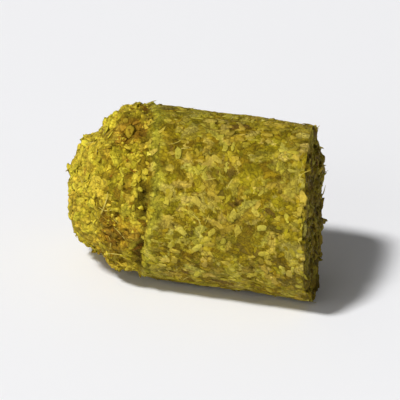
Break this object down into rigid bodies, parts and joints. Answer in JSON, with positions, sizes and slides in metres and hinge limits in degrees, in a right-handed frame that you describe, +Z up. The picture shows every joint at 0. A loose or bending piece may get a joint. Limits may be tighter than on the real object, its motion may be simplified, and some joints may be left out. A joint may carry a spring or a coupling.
{
  "type": "hop pellet",
  "caption": "Short round plug of pressed, milled hop cones, with a blunt crumbly break at one end and a nearly square snap at the other.",
  "frame": {"origin": "on the surface that the pellet lies on, under the middle of its bounding box", "axes": "+X along the plug, from the blunt broken end to the snapped end; +Z up, away from the surface that it lies on"},
  "size_m": [0.0092, 0.0064, 0.006],
  "materials": {
    "pressed_hop_matter": "matt, with a faint waxy sheen where the die pressed it"
  },
  "bodies": {
    "root": {"pellet": "pressed_hop_matter"}
  },
  "joints": []
}
